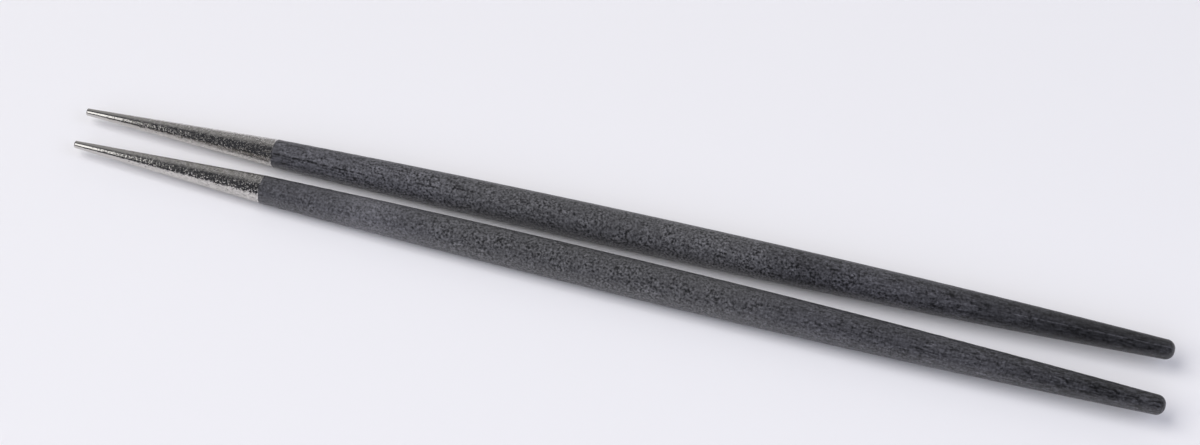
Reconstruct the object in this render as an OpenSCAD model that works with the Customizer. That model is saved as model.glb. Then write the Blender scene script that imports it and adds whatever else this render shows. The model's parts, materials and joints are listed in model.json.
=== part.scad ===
// A pair of table chopsticks lying side by side: turned steel tips bonded into round black handles.
// X runs from the tips to the butts, Y from the near stick to the far one, and Z is up.
// The origin is on the table, under the middle of the pair.

/* [Stick] */
// Length of a stick from its tip to its butt
stick_len = 240; // [210:1:270]
// Distance from the tip to the thickest place of the handle
belly_at = 128; // [110:1:150]
// Diameter at the thickest place of the handle
belly_d = 8.2; // [7.2:0.1:9.4]
// Diameter where the steel meets the handle
joint_d = 6.1; // [5.4:0.1:6.8]

/* [Steel tip] */
// Length of the steel that shows in front of the handle
steel_len = 43.5; // [35:0.5:60]
// Diameter of the blunt end
tip_d = 1.6; // [1.2:0.1:2.6]
// Radius of the rounded rim at the blunt end
tip_round = 0.25; // [0.1:0.05:0.5]
// Bevel around the shoulder that the handle sits against
shoulder_bevel = 0.12; // [0.04:0.02:0.3]

/* [Handle] */
// Radius around the front edge of the handle
mouth_round = 0.25; // [0.1:0.05:0.6]
// Diameter that the handle tapers to at its butt
butt_d = 4.1; // [3.4:0.1:5.6]
// Radius around the butt, up to a full half ball
butt_round = 1.9; // [0.6:0.1:2.4]

/* [Tang and socket] */
// Diameter of the tang behind the shoulder
tang_d = 3.2; // [2.6:0.1:3.8]
// Length of the tang
tang_len = 26; // [18:1:40]
// Bevel at the end of the tang
tang_bevel = 0.4; // [0.2:0.1:0.8]
// Number of glue grooves around the tang
groove_count = 4; // [0:1:5]
// Width of a glue groove
groove_w = 1.2; // [0.6:0.1:2]
// Depth of a glue groove
groove_depth = 0.25; // [0.1:0.05:0.5]
// Distance from one glue groove to the next
groove_pitch = 3.4; // [2.4:0.1:3.4]
// Distance from the shoulder to the first glue groove
groove_start = 4; // [2:0.5:4]
// Glue all around the tang in its socket
glue_gap = 0.05; // [0.02:0.01:0.15]
// Empty depth of the socket beyond the end of the tang
socket_spare = 0.8; // [0.3:0.1:2]

/* [Lie of the pair] */
// Distance between the two tips, centre to centre
tip_spacing = 9.5; // [9:0.1:16]
// Distance between the two butts, centre to centre
butt_spacing = 14.7; // [13:0.1:24]
// How much further back the near stick lies than the far one
stagger = 1; // [0:0.5:4]

/* [Weight] */
// Density of the steel, in grams for each cubic centimetre
steel_density = 7.85; // [7.6:0.05:8.1]
// Density of the handle, in grams for each cubic centimetre
handle_density = 1.1; // [0.6:0.05:1.6]

/* [Hidden] */
$fn = 72;
near = -1;
far = 1;
// Straight steps along each half of the handle, and along each rounded edge
barrel_steps = 24;
round_steps = 12;
// Slices along a stick for finding its balance point
slices = 480;
// How far a cut starts outside the face that it goes through
overcut = 1;

steel_colour = [0.66, 0.64, 0.61];
handle_colour = [0.13, 0.13, 0.14];

// The steel is a plain cone from the blunt end to the shoulder
tip_r = tip_d / 2;
joint_r = joint_d / 2;
cone_slope = (joint_r - tip_r) / steel_len;
cone_angle = atan(cone_slope);

// The tang fills its socket but for the glue
tang_r = tang_d / 2;
socket_r = tang_r + glue_gap;
socket_len = tang_len + socket_spare;

// The handle's side is one long arc on each side of the belly, level where they meet
belly_r = belly_d / 2;
front_arc = arc_radius(belly_at - steel_len, belly_r - joint_r);
rear_arc = arc_radius(stick_len - belly_at, belly_r - butt_d / 2);
mouth_slope = asin((belly_at - steel_len - mouth_round) / front_arc);
mouth_end = steel_len + mouth_round - mouth_round * sin(mouth_slope);

// The butt can't be rounded by more than its own radius
dome_r = min(butt_round, butt_d / 2);
butt_slope = asin((stick_len - dome_r - belly_at) / rear_arc);
butt_start = stick_len - dome_r + dome_r * sin(butt_slope);

// Balance point of one stick, as a distance from its tip
stations = [for (i = [0 : slices - 1]) (i + 0.5) * stick_len / slices];
weights = [for (s = stations) slice_weight(s)];
balance_at = (weights * stations) / (weights * [for (w = weights) 1]);

// A stick rests where its side is level right under the balance point, so its tip dips a little
rest_arc = balance_at < belly_at ? front_arc : rear_arc;
rest_tilt = atan((belly_at - balance_at) / (rest_arc - belly_r));
belly_height = rest_arc - (rest_arc - belly_r) * cos(rest_tilt);
middle_height = belly_height - (belly_at - stick_len / 2) * sin(rest_tilt);

// The two sticks spread evenly from the middle line, a little wider at the butts
half_spread = asin((butt_spacing - tip_spacing) / 2 / stick_len);
middle_offset = (tip_spacing + butt_spacing) / 4;

// Radius of the arc that rises by rise over a run, level at its far end
function arc_radius(run, rise) = (run * run + rise * rise) / (2 * rise);

// Radius of the cone at a distance from the tip
function cone_r(s) = tip_r + cone_slope * s;

// Radius of the handle at a distance from the tip
function barrel_r(s) =
    let (arc = s < belly_at ? front_arc : rear_arc)
    belly_r - arc + sqrt(arc * arc - (s - belly_at) * (s - belly_at));

// Weight of a thin slice at a distance from the tip, per unit of its thickness
function slice_weight(s) =
    s < steel_len
        ? steel_density * pow(cone_r(s), 2)
        : s < steel_len + tang_len
            ? steel_density * pow(tang_r, 2) + handle_density * (pow(barrel_r(s), 2) - pow(socket_r, 2))
            : handle_density * pow(barrel_r(s), 2);

// Points on an arc about [r, s], from angle a to angle b
function arc_points(r, s, radius, a, b) =
    [for (i = [0 : round_steps])
        let (angle = a + (b - a) * i / round_steps)
        [r + radius * cos(angle), s + radius * sin(angle)]];

// Points along the handle's side between distance a and distance b, without these two
function barrel_points(a, b) =
    [for (i = [1 : barrel_steps - 1])
        let (s = a + (b - a) * i / barrel_steps)
        [barrel_r(s), s]];

// Outline of the steel: blunt end, cone, shoulder and tang
module steel_outline() {
    rim_s = tip_round - tip_round * sin(cone_angle);
    rim_r = cone_r(rim_s) - tip_round * cos(cone_angle);
    shoulder_s = steel_len - shoulder_bevel;
    tang_end = steel_len + tang_len;
    polygon(concat(
        [[0, 0]],
        arc_points(rim_r, tip_round, tip_round, -90, -cone_angle),
        [[cone_r(shoulder_s), shoulder_s],
         [joint_r - shoulder_bevel, steel_len],
         [tang_r, steel_len],
         [tang_r, tang_end - tang_bevel],
         [tang_r - tang_bevel, tang_end],
         [0, tang_end]]
    ));
}

// Outline of the glue grooves that are turned into the tang
module groove_outline() {
    for (i = [0 : 1 : groove_count - 1])
        translate([tang_r - groove_depth, steel_len + groove_start + i * groove_pitch])
            square([2 * groove_depth, groove_w]);
}

// Outline of the handle's outer shape: front edge, two long arcs and butt
module handle_outline() {
    mouth_r = barrel_r(mouth_end) - mouth_round * cos(mouth_slope);
    butt_r = barrel_r(butt_start) - dome_r * cos(butt_slope);
    polygon(concat(
        [[0, steel_len]],
        arc_points(mouth_r, steel_len + mouth_round, mouth_round, -90, -mouth_slope),
        barrel_points(mouth_end, belly_at),
        [[belly_r, belly_at]],
        barrel_points(belly_at, butt_start),
        arc_points(butt_r, stick_len - dome_r, dome_r, butt_slope, 90),
        [[0, stick_len]]
    ));
}

// Puts a stick that stands on its tip down on the table, on the near or the far side
module lay_down(side) {
    translate([-side * stagger / 2, side * middle_offset, middle_height])
        rotate([0, -rest_tilt, side * half_spread])
            translate([-stick_len / 2, 0, 0])
                rotate([0, 90, 0])
                    children();
}

// Steel tip with its tang
module steel_tip(side) {
    color(steel_colour)
        lay_down(side)
            rotate_extrude()
                difference() {
                    steel_outline();
                    groove_outline();
                }
}

// Handle with the socket for the tang
module handle(side) {
    color(handle_colour)
        lay_down(side)
            difference() {
                rotate_extrude()
                    handle_outline();
                translate([0, 0, steel_len - overcut])
                    cylinder(h = socket_len + overcut, r = socket_r);
            }
}

steel_tip(near);  // near_steel_tip
handle(near);  // near_handle
steel_tip(far);  // far_steel_tip
handle(far);  // far_handle
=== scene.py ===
import json
import math
import bpy
from mathutils import Matrix, Vector

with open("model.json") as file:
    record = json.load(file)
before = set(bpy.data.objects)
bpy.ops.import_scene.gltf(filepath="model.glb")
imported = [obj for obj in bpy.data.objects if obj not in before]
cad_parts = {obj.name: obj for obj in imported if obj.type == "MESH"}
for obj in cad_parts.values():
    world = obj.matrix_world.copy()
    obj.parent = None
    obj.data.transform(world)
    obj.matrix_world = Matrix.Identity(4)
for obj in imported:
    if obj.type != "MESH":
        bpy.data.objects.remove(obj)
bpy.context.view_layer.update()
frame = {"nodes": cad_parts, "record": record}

MM = 0.001
ALONG = Vector((1, 0, 0))

# Camera: the point it aims at, where it stands from there, lens and sensor in millimetres, and its reach
AIM = Vector((-4.12, 6.71, 4.0)) * MM
DISTANCE = 779.8 * MM
AZIMUTH = math.radians(16.77)
ELEVATION = math.radians(49.90)
ROLL = math.radians(0.278)
LENS = 110.13
SENSOR = 36.0
CLIP_START = 0.01
CLIP_END = 100.0

# Table
TABLE_COLOUR = (0.868, 0.852, 0.858)
TABLE_SIZE = 12.0
TABLE_ROUGHNESS = 0.9
TABLE_SPECULAR = 0.1

# Surroundings: the greys in front and behind, and how far back a direction points where they meet
FRONT_SKY = (0.057, 0.059, 0.068)
BACK_SKY = (0.40, 0.40, 0.41)
SKY_TURN = (-0.08, 0.54)

# Softboxes: name, direction from the pair, distance, size, power and colour
WARM_LIGHT = (1.0, 0.995, 0.985)
COOL_LIGHT = (0.90, 0.95, 1.17)
SOFTBOXES = (("key", (-0.56, -0.25, 0.79), 3.3, (3.0, 3.3), 103.0, WARM_LIGHT),
             ("fill", (0.74, -0.16, 0.65), 1.8, (1.4, 1.4), 9.2, COOL_LIGHT),
             ("front", (-0.10, -0.86, 0.50), 1.8, (1.8, 0.9), 7.0, COOL_LIGHT))

# A small lamp close to the tips, which shows in reflections only
TIPS = Vector((-119.5, 0, 3)) * MM
GLINT_TOWARD = (-0.43, -0.565, 0.705)
GLINT_DISTANCE = 100 * MM
GLINT_SIZE = (17 * MM, 75 * MM)
GLINT_POWER = 0.0075

# Distances along a stick from its thickest place, in millimetres
TIP = -128.0
STEEL_END = -84.5
MOUTH = -84.0
BUTT = 112.0

# Ranges: from none to all, from all to none, and the one that most of a noise lies in. Then their middle
RISING = (0.0, 1.0)
FALLING = (1.0, 0.0)
MOST = (0.3, 0.7)
MIDDLE = 0.5

# Patterns: stretch along, across and up a stick, size of a grain in millimetres, and detail
EVEN = (1.0, 1.0, 1.0)
WAVES = (EVEN, 0.62, 2.0)
PITS = (EVEN, 0.50, 1.0)
FINE_DENTS = (EVEN, 0.25, 2.0)
MOTTLE = (EVEN, 0.55, 1.5)
ROUND_GRAIN = (EVEN, 0.50, 1.5)
LONG_GRAIN = ((5.0, 1.0, 1.0), 0.36, 1.5)
SPECKS_AND_GLINTS = ((1.8, 1.0, 1.0), 0.36, 1.0)
PORES = ((3.5, 1.0, 1.0), 0.42, 1.0)
PATCHES = (EVEN, 3.0, 2.0)
SHEEN = (EVEN, 14.0, 2.0)
DASHES = ((1.4, 50.0, 50.0), 1.0, 2.0)

# Where a pattern's value starts to show as a mark, and where it shows in full
PIT_RANGE = (0.56, 0.70)
MOTTLE_RANGE = (0.35, 0.65)
SPECK_AND_GLINT_RANGE = (0.62, 0.76)
PORE_RANGE = (0.36, 0.28)
DASH_RANGE = (0.43, 0.51)

# Steel: greys of its mottle and of its rim, the rim's grey a painted highlight, roughness, and depths of
# its dents
DARK_STEEL = (0.43, 0.415, 0.393)
LIGHT_STEEL = (0.71, 0.685, 0.655)
HIGHLIGHT_STEEL = (0.78, 0.76, 0.74)
STEEL_ROUGHNESS = (0.17, 0.11)
WAVE_DEPTH = 0.085 * MM
PIT_DEPTH = 0.13 * MM
FINE_DEPTH = 0.02 * MM

# How strong the dents are along the steel: nearly smooth at the tip, dented towards the handle
DENTS = ((TIP, 0.03), (-119, 0.15), (-114, 0.60), (-98, 0.75), (-91, 0.80), (STEEL_END, 1.0))

# Where the dents are weaker, the mottle fades by this power of their strength
MOTTLE_FADE = 1.6

# A painted highlight on the rim next to the handle: where it begins along the steel, and where it is full
HIGHLIGHT_RIM = (STEEL_END - 0.30, STEEL_END - 0.15)

# Handle: its two tints, roughness, specular level and depth of the grain
NEUTRAL_TINT = (1.003, 0.983, 1.020)
COOL_TINT = (1.003, 0.983, 1.090)
HANDLE_ROUGHNESS = (0.42, 0.50)
HANDLE_SPECULAR = 0.7
GRAIN_DEPTH = 0.08 * MM

# Dark and light of the handle's skin: how much the grain's swing around its middle is enlarged and how
# dark it may get, what the patches do to its contrast, the light that specks add, which are partly painted
# glints, and the shade of pores
GRAIN_SWING = 5.0
DARKEST_GRAIN = 0.12
PATCH_CONTRAST = (0.60, 1.40)
SPECK_AND_GLINT_LIGHT = 0.9
PORE_SHADE = (1.0, 0.45)

# How cool the handles' grey is along a stick
COOLNESS = ((MOUTH, 0.9), (-55, 0.7), (-35, 0.0), (15, 0.0), (42, 1.0), (BUTT, 1.0))

# Each stick: the seed that sets its patterns apart and, along its handle, the grey of the skin, the share
# of long fibres in the grain and the contrast of the grain. The grey is partly the skin's own tone and
# partly
# painted light and shade: lighter and darker bands along each handle, and a lighter grey on the far stick
# that makes up for the shade the near one puts on it. Then its fine lines: each end is a place along
# the stick and an angle in degrees from the top
STICKS = {
    "near": {
        "seed": 3.0,
        "greys_with_painted_light": ((MOUTH, 0.056), (-70, 0.065), (-60, 0.099), (-50, 0.068), (-25, 0.063), (15, 0.065),
                   (35, 0.055), (53, 0.042), (72, 0.048), (85, 0.033), (97, 0.023), (BUTT, 0.031)),
        "fibres": ((MOUTH, 0.15), (10, 0.05), (47, 0.45), (72, 0.50), (BUTT, 0.62)),
        "contrasts": ((MOUTH, 0.90), (-57, 0.80), (-38, 1.20), (20, 0.98), (60, 1.40), (BUTT, 1.9)),
        "cracks": (),
        "scratches": (),
    },
    "far": {
        "seed": 8.5,
        "greys_with_painted_light": ((MOUTH, 0.069), (-50, 0.076), (-10, 0.067), (16, 0.077), (22, 0.070), (33, 0.042),
                   (52, 0.053), (66, 0.041), (75, 0.030), (95, 0.017), (BUTT, 0.022)),
        "fibres": ((MOUTH, 0.45), (-60, 0.30), (-40, 0.10), (12, 0.0), (40, 0.35), (72, 0.50),
                   (BUTT, 0.62)),
        "contrasts": ((MOUTH, 1.20), (-55, 1.35), (-38, 0.98), (15, 1.08), (33, 1.60), (60, 1.35),
                      (BUTT, 1.3)),
        "cracks": (((-84, 42), (-64, 46)), ((-51, 35), (-47, 36)), ((-43, 24), (-38, 25))),
        "scratches": (((79, 32.5), (111, 24)),),
    },
}

# Fine lines, in millimetres: how far they reach to each side, the share of this reach where they are full,
# and how far they fade past their ends. Then the shade of a crack and the light that a scratch adds
CRACK_REACH = 0.27
SCRATCH_REACH = 0.18
LINE_CORE = 0.25
LINE_FADE = 1.0
CRACK_SHADE = (1.0, 0.15)
SCRATCH_LIGHT = 1.9


def new_material(name):
    """An empty node material, with its node tree and its shader."""
    material = bpy.data.materials.new(name)
    material.use_nodes = True
    tree = material.node_tree
    tree.nodes.clear()
    shader = tree.nodes.new("ShaderNodeBsdfPrincipled")
    output = tree.nodes.new("ShaderNodeOutputMaterial")
    tree.links.new(shader.outputs["BSDF"], output.inputs["Surface"])
    return material, tree, shader


def feed(tree, socket, value):
    """Links an output to a socket, or sets the socket to a plain value."""
    if isinstance(value, bpy.types.NodeSocket):
        tree.links.new(value, socket)
    else:
        socket.default_value = value


def stick_coordinates(tree, side):
    """Millimetres in a stick's own frame: X runs along it from its thickest place, Z is up."""
    mounts = {mount["name"]: mount for mount in frame["record"]["mounts"]}
    grip = mounts[side + "_grip"]
    along = Vector(grip["axis"]).normalized()
    place = tree.nodes.new("ShaderNodeTexCoord")
    turn = tree.nodes.new("ShaderNodeMapping")
    turn.vector_type = "TEXTURE"
    turn.inputs["Location"].default_value = grip["pos_m"]
    turn.inputs["Rotation"].default_value = (0.0, -math.asin(along.z), math.atan2(along.y, along.x))
    turn.inputs["Scale"].default_value = (MM, MM, MM)
    tree.links.new(place.outputs["Object"], turn.inputs["Vector"])
    return turn.outputs["Vector"]


def stretched(tree, vector, stretch):
    """Coordinates whose patterns come out longer along each axis by the factors in stretch."""
    node = tree.nodes.new("ShaderNodeMapping")
    node.inputs["Scale"].default_value = [1.0 / factor for factor in stretch]
    tree.links.new(vector, node.inputs["Vector"])
    return node.outputs["Vector"]


def noise(tree, vector, pattern, seed=0.0):
    """Noise with a pattern's stretch, size and detail. Each seed makes it come out another way."""
    stretch, size, detail = pattern
    node = tree.nodes.new("ShaderNodeTexNoise")
    node.noise_dimensions = "4D"
    node.inputs["W"].default_value = seed
    node.inputs["Scale"].default_value = 1.0 / size
    node.inputs["Detail"].default_value = detail
    tree.links.new(stretched(tree, vector, stretch), node.inputs["Vector"])
    return node.outputs["Fac"]


def maths(tree, operation, *values):
    """One operation on values, each a number or an output."""
    node = tree.nodes.new("ShaderNodeMath")
    node.operation = operation
    for socket, value in zip(node.inputs, values):
        feed(tree, socket, value)
    return node.outputs["Value"]


def product(tree, first, *others):
    """The first value, an output, times each of the others."""
    result = first
    for value in others:
        result = maths(tree, "MULTIPLY", result, value)
    return result


def ramp(tree, value, source, target=RISING):
    """Maps value from the range source to the range target, and no further."""
    node = tree.nodes.new("ShaderNodeMapRange")
    sockets = ("From Min", "From Max", "To Min", "To Max")
    for name, number in zip(sockets, (*source, *target)):
        node.inputs[name].default_value = number
    tree.links.new(value, node.inputs["Value"])
    return node.outputs["Result"]


def profile(tree, along, stops):
    """A value that follows the given stops along the stick."""
    low, high = stops[0][0], stops[-1][0]
    node = tree.nodes.new("ShaderNodeValToRGB")
    node.color_ramp.interpolation = "EASE"
    elements = node.color_ramp.elements
    while len(elements) < len(stops):
        elements.new(MIDDLE)
    for element, (place, value) in zip(elements, stops):
        element.position = (place - low) / (high - low)
        element.color = (value, value, value, 1.0)
    tree.links.new(ramp(tree, along, (low, high)), node.inputs["Fac"])
    return node.outputs["Color"]


def blend(tree, factor, low, high):
    """Mixes two colours, each a triple or an output, by factor."""
    node = tree.nodes.new("ShaderNodeMix")
    node.data_type = "RGBA"
    tree.links.new(factor, node.inputs["Factor"])
    for socket, colour in zip((node.inputs["A"], node.inputs["B"]), (low, high)):
        feed(tree, socket, (*colour, 1.0) if isinstance(colour, tuple) else colour)
    return node.outputs["Result"]


def mixed(tree, factor, low, high):
    """Mixes two values, each a number or an output, by factor."""
    node = tree.nodes.new("ShaderNodeMix")
    for name, value in (("Factor", factor), ("A", low), ("B", high)):
        feed(tree, node.inputs[name], value)
    return node.outputs["Result"]


def tinted(tree, colour, grey):
    """A colour times a grey value."""
    node = tree.nodes.new("ShaderNodeVectorMath")
    node.operation = "SCALE"
    tree.links.new(colour, node.inputs["Vector"])
    tree.links.new(grey, node.inputs["Scale"])
    return node.outputs["Vector"]


def parts_of(tree, vector):
    """X, Y and Z of a vector."""
    split = tree.nodes.new("ShaderNodeSeparateXYZ")
    tree.links.new(vector, split.inputs["Vector"])
    return split.outputs["X"], split.outputs["Y"], split.outputs["Z"]


def bump(tree, height, depth, strength=1.0, under=None):
    """Bump of a height of 0..1 that stands depth metres proud."""
    node = tree.nodes.new("ShaderNodeBump")
    node.inputs["Distance"].default_value = depth
    tree.links.new(height, node.inputs["Height"])
    feed(tree, node.inputs["Strength"], strength)
    if under is not None:
        tree.links.new(under, node.inputs["Normal"])
    return node.outputs["Normal"]


def steel_mottle(tree, at, seed, strength):
    """Dark and light spots of the steel, as 0..1. Where its dents are weak, it is plain in between."""
    spots = ramp(tree, noise(tree, at, MOTTLE, seed + 1), MOTTLE_RANGE)
    return mixed(tree, maths(tree, "POWER", strength, MOTTLE_FADE), MIDDLE, spots)


def steel_material(side, seed):
    """Satin steel: warm grey metal, smooth at the tip and dented towards the handle, with a painted
    highlight on its rim.
    """
    material, tree, shader = new_material("satin_steel_" + side)
    link = tree.links.new
    at = stick_coordinates(tree, side)
    along = parts_of(tree, at)[0]
    strength = profile(tree, along, DENTS)
    metal = blend(tree, steel_mottle(tree, at, seed, strength), DARK_STEEL, LIGHT_STEEL)
    # The rim next to the handle gets a painted highlight
    link(blend(tree, ramp(tree, along, HIGHLIGHT_RIM), metal, HIGHLIGHT_STEEL), shader.inputs["Base Color"])
    shader.inputs["Metallic"].default_value = 1.0
    fine = noise(tree, at, FINE_DENTS, seed)
    link(ramp(tree, fine, MOST, STEEL_ROUGHNESS), shader.inputs["Roughness"])
    waved = bump(tree, noise(tree, at, WAVES, seed), WAVE_DEPTH, strength)
    pits = ramp(tree, noise(tree, at, PITS, seed), PIT_RANGE)
    pitted = bump(tree, pits, PIT_DEPTH, strength, waved)
    link(bump(tree, fine, FINE_DEPTH, strength, pitted), shader.inputs["Normal"])
    return material


def handle_grain(tree, at, along, seed, fibres):
    """Round grains and long fibres of the handle's skin, mixed by the share of fibres."""
    round_grain = noise(tree, at, ROUND_GRAIN, seed)
    long_grain = noise(tree, at, LONG_GRAIN, seed)
    return mixed(tree, profile(tree, along, fibres), round_grain, long_grain)


def handle_skin(tree, at, grain, contrast, seed):
    """Dark and light of the handle's skin around 1: its grain, light specks that are partly painted
    glints, and dark pores.
    """
    swing = product(tree, maths(tree, "SUBTRACT", grain, MIDDLE), GRAIN_SWING)
    value = maths(tree, "MAXIMUM", maths(tree, "MULTIPLY_ADD", swing, contrast, 1.0), DARKEST_GRAIN)
    # Light specks on the skin, partly painted glints
    specks_and_glints = ramp(tree, noise(tree, at, SPECKS_AND_GLINTS, seed), SPECK_AND_GLINT_RANGE)
    value = maths(tree, "MULTIPLY_ADD", product(tree, specks_and_glints, contrast), SPECK_AND_GLINT_LIGHT, value)
    pores = ramp(tree, noise(tree, at, PORES, seed + 1), PORE_RANGE, PORE_SHADE)
    return product(tree, value, pores)


def fine_line(tree, at, ends, reach):
    """A thin broken line along a stick, as a value that is 1 on it."""
    (start, start_angle), (end, end_angle) = ends
    along, across, up = parts_of(tree, at)
    middle = ramp(tree, along, (start, end), (math.radians(start_angle), math.radians(end_angle)))
    angle = maths(tree, "ARCTAN2", product(tree, across, -1.0), up)
    radius = maths(tree, "SQRT", maths(tree, "MULTIPLY_ADD", across, across, product(tree, up, up)))
    away = maths(tree, "ABSOLUTE", product(tree, maths(tree, "SUBTRACT", angle, middle), radius))
    line = ramp(tree, away, (reach * LINE_CORE, reach), FALLING)
    dashes = ramp(tree, noise(tree, at, DASHES), DASH_RANGE)
    begun = ramp(tree, along, (start - LINE_FADE, start))
    not_ended = ramp(tree, along, (end, end + LINE_FADE), FALLING)
    return product(tree, line, dashes, begun, not_ended)


def with_lines(tree, at, value, cracks, scratches):
    """The value of the skin with its dark cracks and light scratches."""
    for ends in cracks:
        crack = fine_line(tree, at, ends, CRACK_REACH)
        value = product(tree, value, ramp(tree, crack, RISING, CRACK_SHADE))
    for ends in scratches:
        scratch = fine_line(tree, at, ends, SCRATCH_REACH)
        value = maths(tree, "MULTIPLY_ADD", scratch, SCRATCH_LIGHT, value)
    return value


def handle_material(side, seed, greys_with_painted_light, fibres, contrasts, cracks, scratches):
    """Matt black resin: charcoal with a fine granular skin that turns fibrous towards the butt. Its grey
    along the stick holds painted light and shade.
    """
    material, tree, shader = new_material("black_resin_" + side)
    link = tree.links.new
    at = stick_coordinates(tree, side)
    along = parts_of(tree, at)[0]
    grain = handle_grain(tree, at, along, seed, fibres)
    patches = ramp(tree, noise(tree, at, PATCHES, seed), MOST, PATCH_CONTRAST)
    contrast = product(tree, profile(tree, along, contrasts), patches)
    value = handle_skin(tree, at, grain, contrast, seed)
    value = with_lines(tree, at, value, cracks, scratches)
    # The skin's grey along the stick: partly its own tone, partly painted light and shade
    grey = product(tree, value, profile(tree, along, greys_with_painted_light))
    tint = blend(tree, profile(tree, along, COOLNESS), NEUTRAL_TINT, COOL_TINT)
    link(tinted(tree, tint, grey), shader.inputs["Base Color"])
    link(ramp(tree, noise(tree, at, SHEEN, seed), MOST, HANDLE_ROUGHNESS), shader.inputs["Roughness"])
    shader.inputs["Specular IOR Level"].default_value = HANDLE_SPECULAR
    link(bump(tree, grain, GRAIN_DEPTH), shader.inputs["Normal"])
    return material


def dress(node, material):
    """Gives a CAD node its finished material."""
    piece = frame["nodes"][node]
    piece.data.materials.clear()
    piece.data.materials.append(material)


def make_table():
    """The pale table that the pair lies on."""
    half = TABLE_SIZE / 2
    mesh = bpy.data.meshes.new("table")
    corners = [(-half, -half, 0), (half, -half, 0), (half, half, 0), (-half, half, 0)]
    mesh.from_pydata(corners, [], [(0, 1, 2, 3)])
    table = bpy.data.objects.new("table", mesh)
    bpy.context.scene.collection.objects.link(table)
    material, _, shader = new_material("pale_table")
    shader.inputs["Base Color"].default_value = (*TABLE_COLOUR, 1.0)
    shader.inputs["Roughness"].default_value = TABLE_ROUGHNESS
    shader.inputs["Specular IOR Level"].default_value = TABLE_SPECULAR
    mesh.materials.append(material)


def make_sky():
    """Studio surroundings: brighter behind the pair than in front. The camera sees a pale backdrop."""
    world = bpy.data.worlds.new("studio")
    bpy.context.scene.world = world
    world.use_nodes = True
    tree = world.node_tree
    tree.nodes.clear()
    direction = tree.nodes.new("ShaderNodeTexCoord").outputs["Generated"]
    backward = parts_of(tree, direction)[1]
    sky = blend(tree, ramp(tree, backward, SKY_TURN), FRONT_SKY, BACK_SKY)
    path = tree.nodes.new("ShaderNodeLightPath")
    seen = blend(tree, path.outputs["Is Camera Ray"], sky, TABLE_COLOUR)
    background = tree.nodes.new("ShaderNodeBackground")
    tree.links.new(seen, background.inputs["Color"])
    output = tree.nodes.new("ShaderNodeOutputWorld")
    tree.links.new(background.outputs["Background"], output.inputs["Surface"])


def make_lamp(name, target, toward, distance, size, power):
    """A rectangular lamp that faces target, its width running along the sticks."""
    back = Vector(toward).normalized()
    across = back.cross(ALONG).normalized()
    lamp = bpy.data.lights.new(name, "AREA")
    lamp.shape = "RECTANGLE"
    lamp.size, lamp.size_y = size
    lamp.energy = power
    holder = bpy.data.objects.new(name, lamp)
    holder.location = target + back * distance
    holder.rotation_euler = Matrix((across.cross(back), across, back)).transposed().to_euler()
    holder.visible_camera = False
    bpy.context.scene.collection.objects.link(holder)
    return holder


def make_softbox(name, toward, distance, size, power, colour):
    """A softbox for the whole pair. The metal mirrors the surroundings, not the box."""
    box = make_lamp(name, Vector(), toward, distance, size, power)
    box.visible_glossy = False
    box.data.color = colour


def make_glint():
    """The small lamp that the tips mirror as a white line, and that lights nothing else."""
    lamp = make_lamp("glint", TIPS, GLINT_TOWARD, GLINT_DISTANCE, GLINT_SIZE, GLINT_POWER)
    lamp.visible_diffuse = False


def make_camera():
    """The camera, at the photo's viewing angle."""
    back = Vector((math.sin(AZIMUTH) * math.cos(ELEVATION),
                   -math.cos(AZIMUTH) * math.cos(ELEVATION),
                   math.sin(ELEVATION)))
    data = bpy.data.cameras.new("camera")
    data.lens = LENS
    data.sensor_width = SENSOR
    data.clip_start = CLIP_START
    data.clip_end = CLIP_END
    camera = bpy.data.objects.new("camera", data)
    camera.location = AIM + back * DISTANCE
    level = (-back).to_track_quat("-Z", "Y").to_matrix()
    camera.rotation_euler = (level @ Matrix.Rotation(ROLL, 3, "Z")).to_euler()
    bpy.context.scene.collection.objects.link(camera)
    bpy.context.scene.camera = camera


make_camera()
make_table()
make_sky()
for softbox in SOFTBOXES:
    make_softbox(*softbox)
make_glint()
for side, look in STICKS.items():
    dress(side + "_steel_tip", steel_material(side, look["seed"]))
    dress(side + "_handle", handle_material(side, **look))
bpy.context.scene.view_settings.view_transform = "Standard"
